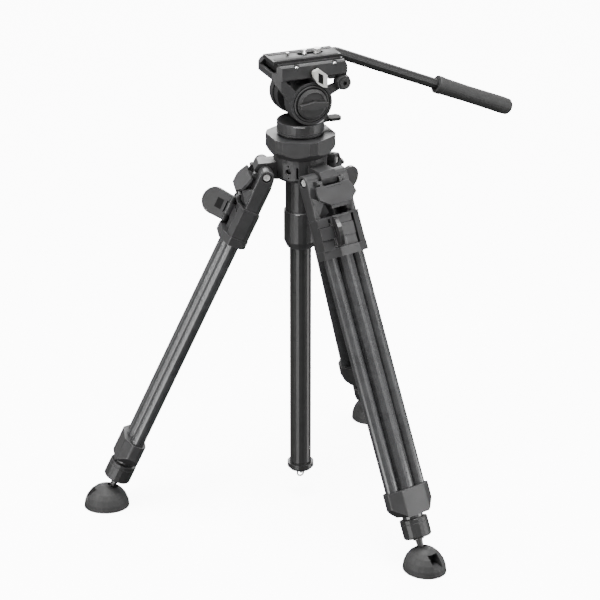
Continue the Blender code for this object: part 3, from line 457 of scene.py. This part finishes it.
# Swaps y and z, so that an outline drawn in x and z is given its thickness along y.
ALONG_Y = Matrix(((1, 0, 0, 0), (0, 0, 1, 0), (0, 1, 0, 0), (0, 0, 0, 1)))
Z_TO_Y = Matrix.Rotation(math.radians(-90), 4, "X")


def at_joint(name):
    """Millimetres about a joint's anchor, to the world."""
    return Matrix.Translation(Vector(joint(name)["pos_m"])) @ Matrix.Scale(MM, 4)


def head_matrix():
    """The head's frame, in millimetres about the column's axis, to the world."""
    x, y, _ = joint("head_pan")["pos_m"]
    return Matrix.Translation((x, y, 0)) @ Matrix.Scale(MM, 4)


def add_head_pieces(looks):
    head = head_matrix()
    for end, x in (("front", 17), ("rear", -34)):
        spot = head @ Matrix.Translation((x, 27.6, 604.1))
        add_piece(f"wall_screw_{end}", wall_screw, spot, "tilt", looks["bright"])
    drum, knob, lever = at_drum(), at_joint("tilt_lock_turn") @ Z_TO_Y, at_joint("plate_lock_swing")
    plastic, pad = looks["plastic"], looks["pad"]
    add_piece("drum_ring", drum_ring, drum, "tilt", plastic)
    # Painted shade: near-black rings fill the gaps round the drum's raised ring, where shade falls.
    add_piece("drum_gap_painted_shade", drum_gap_painted_shade, drum, "tilt", pad)
    add_piece("knob_crescent", knob_crescent, knob, "tilt_knob", plastic)
    add_piece("lever_pad", lever_pad, lever, "plate_lever", pad)
    for name, side in (("left", 1), ("right", -1)):
        half = [(-44, 7.6), (39, 7.6), (40, 8.4), (40, 15.4), (39, 16.2), (-44, 16.2)]
        strip = [(x, side * y) for x, y in half]
        add_piece(
            f"plate_pad_{name}",
            lambda bm: plank(bm, strip, PLATE_TOP, PLATE_TOP + 0.6),
            head,
            "plate",
            looks["rubber"],
            bevel=0.2,
        )
    for name, x, radius, pitch in (
        ("quarter", -5, 3.1, FINE_PITCH),
        ("three_eighths", -22, 4.7, COARSE_PITCH),
    ):
        add_piece(
            f"{name}_thread",
            lambda bm: thread(bm, radius, pitch, PLATE_TOP + 0.3, PLATE_TOP + 4.9, 0.35),
            head @ Matrix.Translation((x, 0, 0)),
            f"screw_{name}",
            looks["bright"],
        )
    # The pan's pale strip is a painted highlight for light caught on a small flat at its top edge;
    # the sleeve's is an index mark.
    for name, body, slot, strip in (
        ("pan_painted_highlight", "column", "cast_alloy", (525.0, 525.8, 29.8, 30.1, 64, 14)),
        ("sleeve_index_mark", "column_sleeve", "anodised_alloy", (405, 406, 21.2, 21.52, 58, 7)),
    ):
        add_piece(name, lambda bm: arc_strip(bm, *strip), head, body, looks["mark"])


def at_drum():
    """On the near drum's face, about the tilt axis, with z outward."""
    x, _, z = joint("head_tilt")["pos_m"]
    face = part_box("tilt_lock_knob")[0][1] - 0.0003
    return Matrix.Translation((x, face, z)) @ Z_TO_Y @ Matrix.Scale(MM, 4)


def wall_screw(bm):
    """A cap screw's head with a hexagon socket."""
    head = [(0, 0), (2.7, 0), (2.7, 1.5), (2.3, 1.9)]
    socket = [(1.5, 1.9, True), (1.5, 0.6, True), (0, 0.5)]
    lathe(bm, head + socket, 24)


def drum_ring(bm):
    """The raised ring round the near drum's face."""
    ring = [(20.7, -0.6), (20.7, 0.2), (21.2, 0.6), (22.5, 0.6), (23, 0.2), (23, -0.6)]
    lathe(bm, ring, 56)


def drum_gap_painted_shade(bm):
    """Painted shade: two near-black rings laid in the gaps inside and outside the drum's raised
    ring.
    """
    for inner, outer in ((19.8, 20.8), (22.9, 24.1)):
        lathe(bm, [(inner, -0.6), (inner, 0.1), (outer, 0.1), (outer, -0.6)], 56)


def knob_crescent(bm):
    """A fine raised rim round the half-moon above the knob's wing."""
    angles = [math.radians(angle) for angle in range(20, 161, 10)]
    outline = [(16.6 * math.cos(angle), -16.6 * math.sin(angle)) for angle in angles]
    outline += [(-8, -5.0), (0, -6.6), (8, -5.0)]
    middle = Vector((0, -10))
    rings = []
    for x, y in outline:
        outer = Vector((x, y))
        inner = outer + (middle - outer) * 0.06
        rings.append([(*outer, 4.4), (*outer, 5.0), (*inner, 5.0), (*inner, 4.4)])
    skin(bm, rings)


def upright_slab(bm, x_low, x_high, z_low, z_high, y_low, y_high):
    """A rectangular slab, drawn in x and z and given its thickness along y."""
    outline = [(x_low, z_low), (x_high, z_low), (x_high, z_high), (x_low, z_high)]
    plank(bm, outline, y_low, y_high, ALONG_Y)


def lever_pad(bm):
    """Dark pad in the bright lever's recess, with two columns of raised blocks."""
    plank(bm, [(-2.5, 0.0), (-8.7, -3.6), (-8.7, -15.6), (-2.5, -11.8)], 4.5, 5.2, ALONG_Y)
    for x, top in ((-4.9, -2.6), (-8.1, -4.6)):
        for row in range(4):
            z = top - 2.6 * row
            upright_slab(bm, x, x + 2, z - 1.7, z, 5.1, 5.7)


def add_leg_pieces(looks):
    for i, azimuth in enumerate(LEG_AZIMUTHS, start=1):
        leg = f"leg_{i}"
        hinge = Vector(joint(f"{leg}_lock_lever_swing")["pos_m"])
        place = Matrix.Translation(hinge) @ leg_matrix(azimuth).to_3x3().normalized().to_4x4()
        swing = Matrix.Rotation(math.radians(LEVER_SWING_AT_REST), 4, "Z")
        add_piece(
            f"{leg}_lever_insert",
            lever_insert,
            place @ swing @ Matrix.Scale(MM, 4),
            f"{leg}_lever",
            looks["pad"],
            bevel=0.15,
        )
        port = Matrix.Rotation(math.radians(azimuth + PORT_FROM_LEG), 4, "Z")
        port = port @ Matrix.Translation((0, -3, 466)) @ Matrix.Rotation(math.radians(90), 4, "Y")
        add_piece(
            f"port_thread_{i}",
            lambda bm: thread(bm, 4.3, COARSE_PITCH, 28.0, 32.0, -0.6),
            head_matrix() @ port,
            "hub",
            looks["dark"],
        )


def lever_insert(bm):
    """The grooved insert in the lever's pocket, the pad on its other face, and the lip."""
    upright_slab(bm, 9.3, 17.7, -5.9, 7.0, -0.2, 0.45)
    for row in range(4):
        z = -5.2 + 3.1 * row
        upright_slab(bm, 10.1, 16.9, z, z + 1.6, -0.8, -0.1)
    upright_slab(bm, 9, 18, -6.2, 7.3, 2.2, 2.5)
    upright_slab(bm, 4.45, 5.9, -7.5, 8.5, -1.6, 1.6)


def add_pieces():
    looks = {
        "bright": steel_finish("steel_screws", 0.78, 0.16),
        "dark": steel_finish("steel_insert", 0.14, 0.34),
        "plastic": plastic_finish("plastic_rings", 0.034, 0.32),
        # Near-black plastic for the levers' pads and inserts, and painted shade in the drum's gaps.
        "pad": plastic_finish("plastic_pads_and_gap_shade", 0.006, 0.6, 0.15),
        "rubber": rubber_finish("rubber_strips", 0.026, 1400),
        # Pale paint for the sleeve's index mark, and a painted highlight on the pan.
        "mark": plastic_finish("index_paint_and_painted_highlight", 0.20, 0.5),
    }
    add_head_pieces(looks)
    add_leg_pieces(looks)


# ---- Stage -------------------------------------------------------------------------------------


def make_floor():
    """A flat floor, far larger than the object, that glows white and only the camera sees."""
    bm = bmesh.new()
    bmesh.ops.create_grid(bm, x_segments=1, y_segments=1, size=FLOOR_REACH)
    mesh = bpy.data.meshes.new("floor")
    bm.to_mesh(mesh)
    bm.free()
    floor = bpy.data.objects.new("floor", mesh)
    bpy.context.scene.collection.objects.link(floor)
    f = Finish("floor_white", (0.93, 0.93, 0.93), 0.85, specular=0.1)
    f.colour(f.mix(f.noise(2.0, 3), (0.92, 0.92, 0.92), (0.94, 0.94, 0.94)))
    f.shader.inputs["Emission Color"].default_value = (1, 1, 1, 1)
    f.shader.inputs["Emission Strength"].default_value = FLOOR_GLOW
    mesh.materials.append(f.material)
    floor.visible_diffuse = floor.visible_glossy = floor.visible_shadow = False


def area_light(name, at, width, height, energy, aim=(0, 0, 0.35)):
    """A soft box at a place in metres, turned to face aim, that the camera doesn't see."""
    light = bpy.data.lights.new(name, "AREA")
    light.shape = "RECTANGLE"
    light.size, light.size_y, light.energy = width, height, energy
    obj = bpy.data.objects.new(name, light)
    obj.location = at
    obj.rotation_mode = "QUATERNION"
    obj.rotation_quaternion = (Vector(aim) - Vector(at)).to_track_quat("-Z", "Y")
    obj.visible_camera = False
    bpy.context.scene.collection.objects.link(obj)


def make_light():
    """A pale room, brighter overhead, with soft boxes above, behind and at both sides.

    The two low ones stand below the floor, which casts no shadow, and light the legs from under it.
    """
    world = bpy.data.worlds.new("studio")
    world.use_nodes = True
    tree = world.node_tree
    height = tree.nodes.new("ShaderNodeSeparateXYZ")
    tree.links.new(tree.nodes.new("ShaderNodeTexCoord").outputs["Generated"], height.inputs[0])
    ramp = tree.nodes.new("ShaderNodeMapRange")
    tree.links.new(height.outputs["Z"], ramp.inputs[0])
    for i, number in enumerate((-0.6, 0.9, ROOM_LOW, ROOM_HIGH), start=1):
        ramp.inputs[i].default_value = number
    background = tree.nodes["Background"]
    background.inputs["Color"].default_value = (1, 1, 1, 1)
    tree.links.new(ramp.outputs[0], background.inputs["Strength"])
    bpy.context.scene.world = world
    area_light("top_light", (0.2, 0.3, 2.6), 1.2, 1.2, 130)
    area_light("left_light", (2.4, 0.1, 1.2), 0.28, 2.2, 42)
    area_light("right_light", (-1.8, 2.0, 1.1), 0.26, 2.0, 38)
    area_light("back_light", (-1.1, -2.6, 1.9), 2.4, 1.3, 92)
    area_light("low_left_light", (1.35, 0.75, -0.25), 0.45, 1.3, 12, (0, 0, 0.3))
    area_light("low_right_light", (-1.4, 0.70, -0.25), 0.40, 1.3, 11, (0, 0, 0.3))


def make_camera():
    camera = bpy.data.cameras.new("camera")
    camera.lens, camera.sensor_width, camera.clip_end = CAMERA_LENS, 36, 100
    obj = bpy.data.objects.new("camera", camera)
    azimuth, pitch = math.radians(CAMERA_AZIMUTH), math.radians(CAMERA_PITCH)
    level = math.cos(pitch)
    look = Vector((math.cos(azimuth) * level, math.sin(azimuth) * level, math.sin(pitch)))
    obj.location = CAMERA_AT
    obj.rotation_mode = "QUATERNION"
    obj.rotation_quaternion = look.to_track_quat("-Z", "Y")
    bpy.context.scene.collection.objects.link(obj)
    bpy.context.scene.camera = obj


for node in NODES.values():
    smooth(node.data)
apply_finishes()
add_pieces()
make_floor()
make_light()
make_camera()
